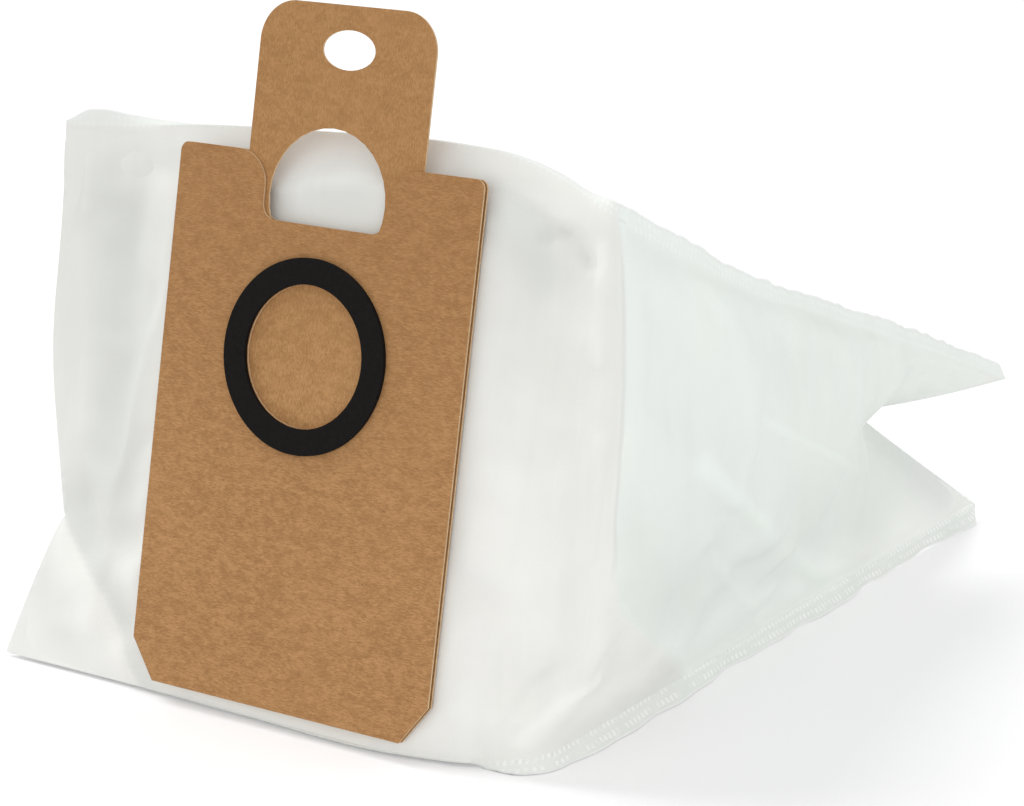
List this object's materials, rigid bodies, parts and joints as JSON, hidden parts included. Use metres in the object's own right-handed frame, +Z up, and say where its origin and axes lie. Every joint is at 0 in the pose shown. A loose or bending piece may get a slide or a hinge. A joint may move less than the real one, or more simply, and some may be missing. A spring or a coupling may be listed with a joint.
{
  "type": "vacuum dust bag",
  "caption": "Disposable station dust bag: welded white cloth bag, standing open on its seam, on a stiff card collar with a foam inlet ring and a pull-out card shutter.",
  "frame": {"origin": "middle of the footprint's box, on the surface that the bag stands on", "axes": "+X to the right along the card, +Y back, away from the card's face, +Z up"},
  "size_m": [0.2034, 0.2794, 0.1923],
  "materials": {
    "card_face": "matte kraft card",
    "card_inner": "matte kraft card",
    "foam": "matte foam rubber",
    "cloth": "white non-woven cloth with a fine emboss"
  },
  "bodies": {
    "bag": {"front_plate": "card_face", "spacer_frame": "card_inner", "back_plate": "card_inner", "seal_ring": "foam", "filter_bag": "cloth"},
    "shutter": {"shutter_slide": "card_inner"}
  },
  "joints": [
    {"name": "shutter_travel", "type": "slide", "parent": "bag", "child": "shutter", "axis": [0, -0.1994, -0.9799], "range_m": [0, 0.0421]}
  ]
}
